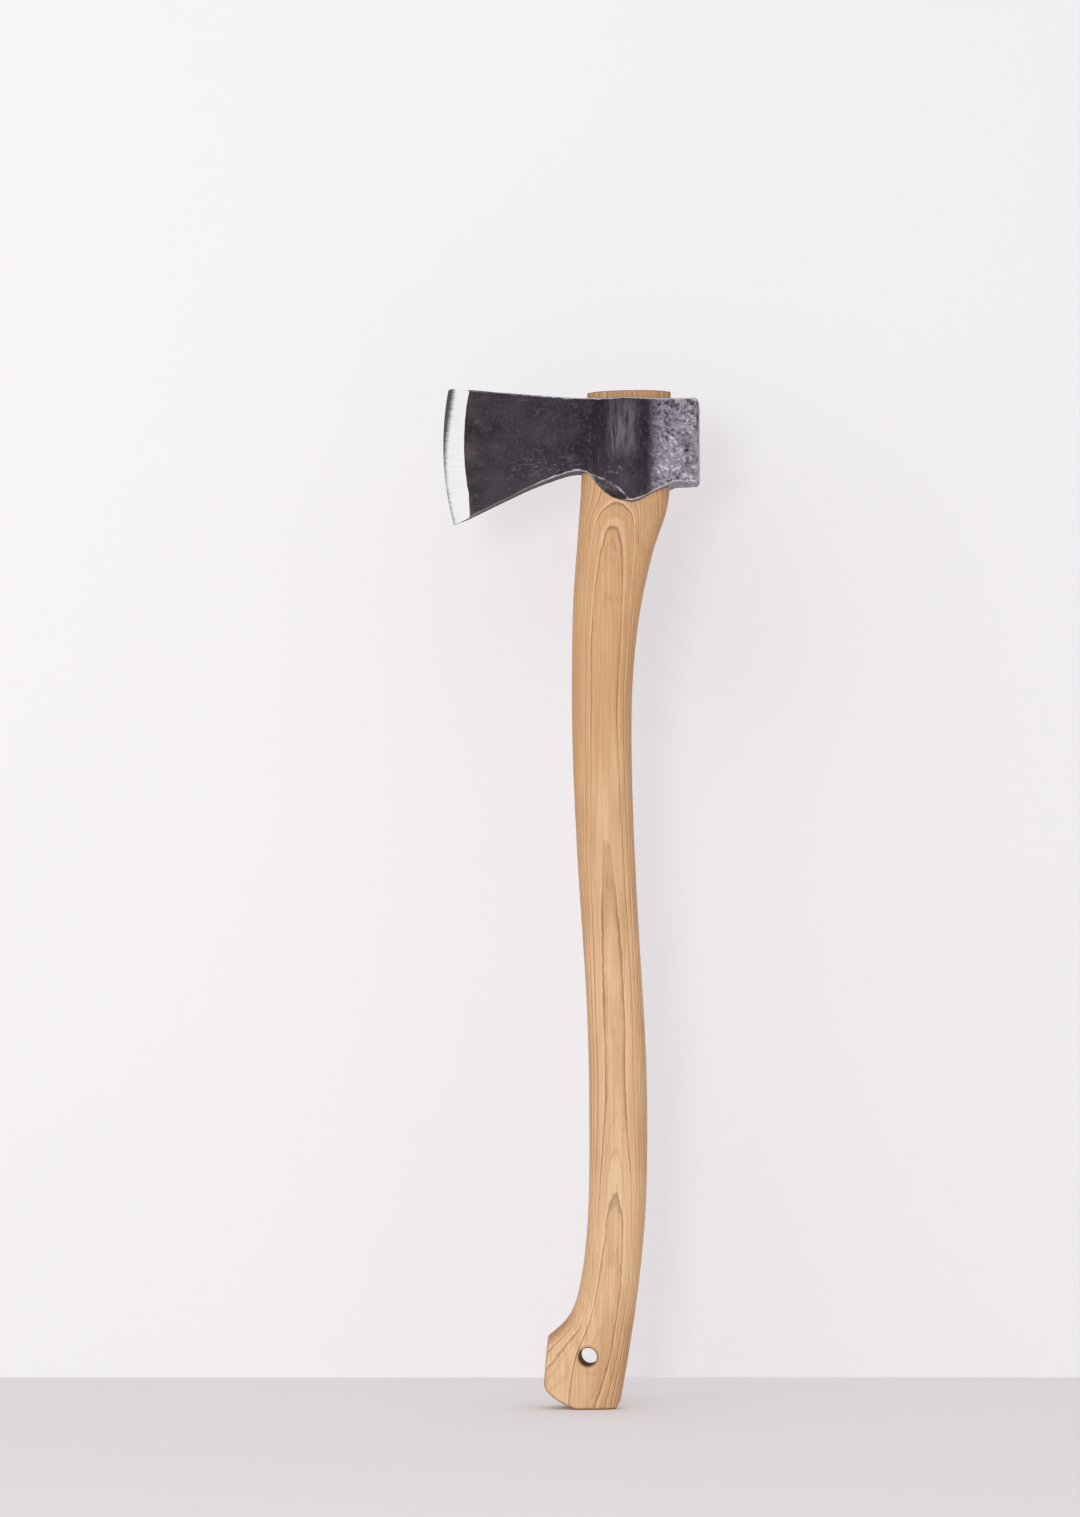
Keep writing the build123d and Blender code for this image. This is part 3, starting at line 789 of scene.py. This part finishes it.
def ring_drop(tree, x, z):
    """How many rings the grain falls by away from their axis, less across the knuckle."""
    axis = rise(tree, z, 5 * MM, 85 * MM, RING_AXIS_FOOT, RING_AXIS_X)
    across = minus(tree, x, axis)
    squared = times(tree, across, across)
    drop = calc(tree, "DIVIDE", squared, 2 * RING_RADIUS * RING_SPACING)
    steep = calc(tree, "POWER", calc(tree, "DIVIDE", squared, RING_STEEP**2), 2.0)
    drop = times(tree, drop, plus(tree, steep, 1.0))
    knuckle = rise(tree, x, 0, 4 * MM, 1.0, 0.0)
    knuckle = times(tree, knuckle, rise(tree, z, 50 * MM, 75 * MM, 1.0, 0.0))
    most = minus(tree, MOST_DROP, times(tree, knuckle, MOST_DROP - KNUCKLE_DROP))
    return calc(tree, "MINIMUM", drop, most)


def ring_crowding(tree, place, z):
    """The rings crowd along the hollow above the knuckle."""
    away = side_distance(tree, place, HOLLOW_CENTRE)
    crowd = rise(tree, away, 49.5 * MM, 58 * MM, 5.0, 0.0)
    return times(tree, crowd, rise(tree, z, 60 * MM, 108 * MM, 1.0, 0.0))


def hickory():
    """Flat-sawn oiled hickory: the rings lie across Y, and lean along the haft."""
    material, tree, shader = new_material("oiled_hickory")
    place, x, y, z = own_place(tree)
    count = minus(tree, ring_curve(tree, z), calc(tree, "DIVIDE", y, RING_SPACING))
    count = minus(tree, count, ring_drop(tree, x, z))
    count = minus(tree, count, ring_crowding(tree, place, z))
    sway = minus(tree, noise(tree, place, (45, 90, 9), 2.0, 0.5), 0.5)
    count = plus(tree, count, times(tree, sway, 0.4))
    ripple = minus(tree, noise(tree, place, (260, 260, 34), 3.0, 0.6), 0.5)
    count = plus(tree, count, times(tree, ripple, 0.12))
    count = plus(tree, count, 20.0)  # above 0 everywhere
    colours = (
        (0.78, 0.50, 0.268, 1),
        (0.645, 0.37, 0.165, 1),
        (0.90, 0.66, 0.40, 1),
        (0.25, 0.10, 0.033, 1),
        (0.20, 0.09, 0.035, 1),
        (0.60, 0.50, 0.42, 1),
    )
    finish_wood(tree, shader, place, count, colours, bore=True)
    return material


def wedge_wood():
    """A darker, tighter-grained wood for the long wedge, its rings lying across X."""
    material, tree, shader = new_material("wedge_wood")
    place, x, _, _ = own_place(tree)
    sway = noise(tree, place, (60, 60, 12), 2.0, 0.5)
    count = plus(tree, calc(tree, "DIVIDE", x, 1.2 * MM), sway)
    count = plus(tree, count, 40.0)  # above 0 everywhere
    colours = (
        (0.46, 0.255, 0.12, 1),
        (0.38, 0.20, 0.09, 1),
        (0.56, 0.34, 0.17, 1),
        (0.25, 0.115, 0.045, 1),
        (0.14, 0.06, 0.025, 1),
        (0.60, 0.50, 0.42, 1),
    )
    finish_wood(tree, shader, place, count, colours)
    return material


def give_material(name, material):
    """Puts one material on a CAD node."""
    nodes[name].data.materials.clear()
    nodes[name].data.materials.append(material)


make_head()
give_material("haft", hickory())
give_material("wooden_wedge", wedge_wood())
give_material("steel_wedge", wedge_steel())


# ---- Stage, lights and camera ----
CAMERA_PLACE = Vector((140.1, -2005.9, 210.4)) * MM
CAMERA_TURN = math.radians(5.0)
CAMERA_PITCH = math.radians(5.5)
CAMERA_LENS = 75.94
WALL_Y = 0.197
STAGE_SIZE = 12


def stage_material(name, colour, see_through_back):
    """Plain matt paper. The wall's lets the camera through from behind."""
    material, tree, shader = new_material(name)
    shader.inputs["Base Color"].default_value = (*colour, 1)
    shader.inputs["Roughness"].default_value = 0.9
    shader.inputs["Specular IOR Level"].default_value = 0.1
    if see_through_back:
        side = add(tree, "NewGeometry").outputs["Backfacing"]
        clear = add(tree, "BsdfTransparent").outputs["BSDF"]
        mix = add(tree, "MixShader", {"Fac": side, 1: shader.outputs["BSDF"], 2: clear})
        tree.links.new(mix.outputs["Shader"], tree.nodes["Material Output"].inputs["Surface"])
    return material


def make_stage():
    """A pale floor, and a pale wall behind it that is seen only from the front."""
    deselect_all()
    bpy.ops.mesh.primitive_plane_add(size=STAGE_SIZE, location=(0, 0, 0))
    floor = bpy.context.object
    floor.name = "floor"
    floor.data.materials.append(stage_material("floor_paper", (0.775, 0.735, 0.74), False))
    deselect_all()
    bpy.ops.mesh.primitive_plane_add(size=STAGE_SIZE, location=(0, 0, 0))
    wall = bpy.context.object
    wall.name = "wall"
    turn = Matrix.Rotation(CAMERA_TURN, 4, "Z") @ Matrix.Rotation(math.radians(90), 4, "X")
    wall.data.transform(Matrix.Translation((0, WALL_Y, 0)) @ turn)
    wall.data.materials.append(stage_material("wall_paper", (0.89, 0.877, 0.892), True))
    wall.visible_diffuse = False
    wall.visible_glossy = False
    wall.visible_transmission = False
    wall.visible_shadow = False


def add_area(name, place, target, size, power):
    """A square soft box aimed at a point."""
    light = bpy.data.lights.new(name, "AREA")
    light.shape = "SQUARE"
    light.size = size
    light.energy = power
    lamp = bpy.data.objects.new(name, light)
    bpy.context.scene.collection.objects.link(lamp)
    lamp.location = place
    aim = Vector(target) - Vector(place)
    lamp.rotation_euler = aim.to_track_quat("-Z", "Y").to_euler()
    lamp.visible_camera = False


def make_lights():
    """An even pale surround, a soft box high on the left, and a weaker one near the camera."""
    world = bpy.data.worlds.new("studio")
    bpy.context.scene.world = world
    world.use_nodes = True
    background = world.node_tree.nodes["Background"]
    background.inputs["Color"].default_value = (0.985, 0.985, 1.0, 1)
    background.inputs["Strength"].default_value = 0.87
    add_area("key", (-0.95, -2.1, 0.85), (0.05, 0, 0.25), 2.2, 12)
    add_area("front", (-0.13, -2.1, 0.35), (0, 0, 0.4), 0.3, 5)


def make_camera():
    """The camera low and a little to the right, looking slightly up."""
    data = bpy.data.cameras.new("camera")
    data.lens = CAMERA_LENS
    data.sensor_width = 36
    data.clip_end = 50
    camera = bpy.data.objects.new("camera", data)
    bpy.context.scene.collection.objects.link(camera)
    camera.location = CAMERA_PLACE
    camera.rotation_euler = (math.radians(90) + CAMERA_PITCH, 0, CAMERA_TURN)
    bpy.context.scene.camera = camera


bpy.context.scene.view_settings.view_transform = "Standard"
make_stage()
make_lights()
make_camera()
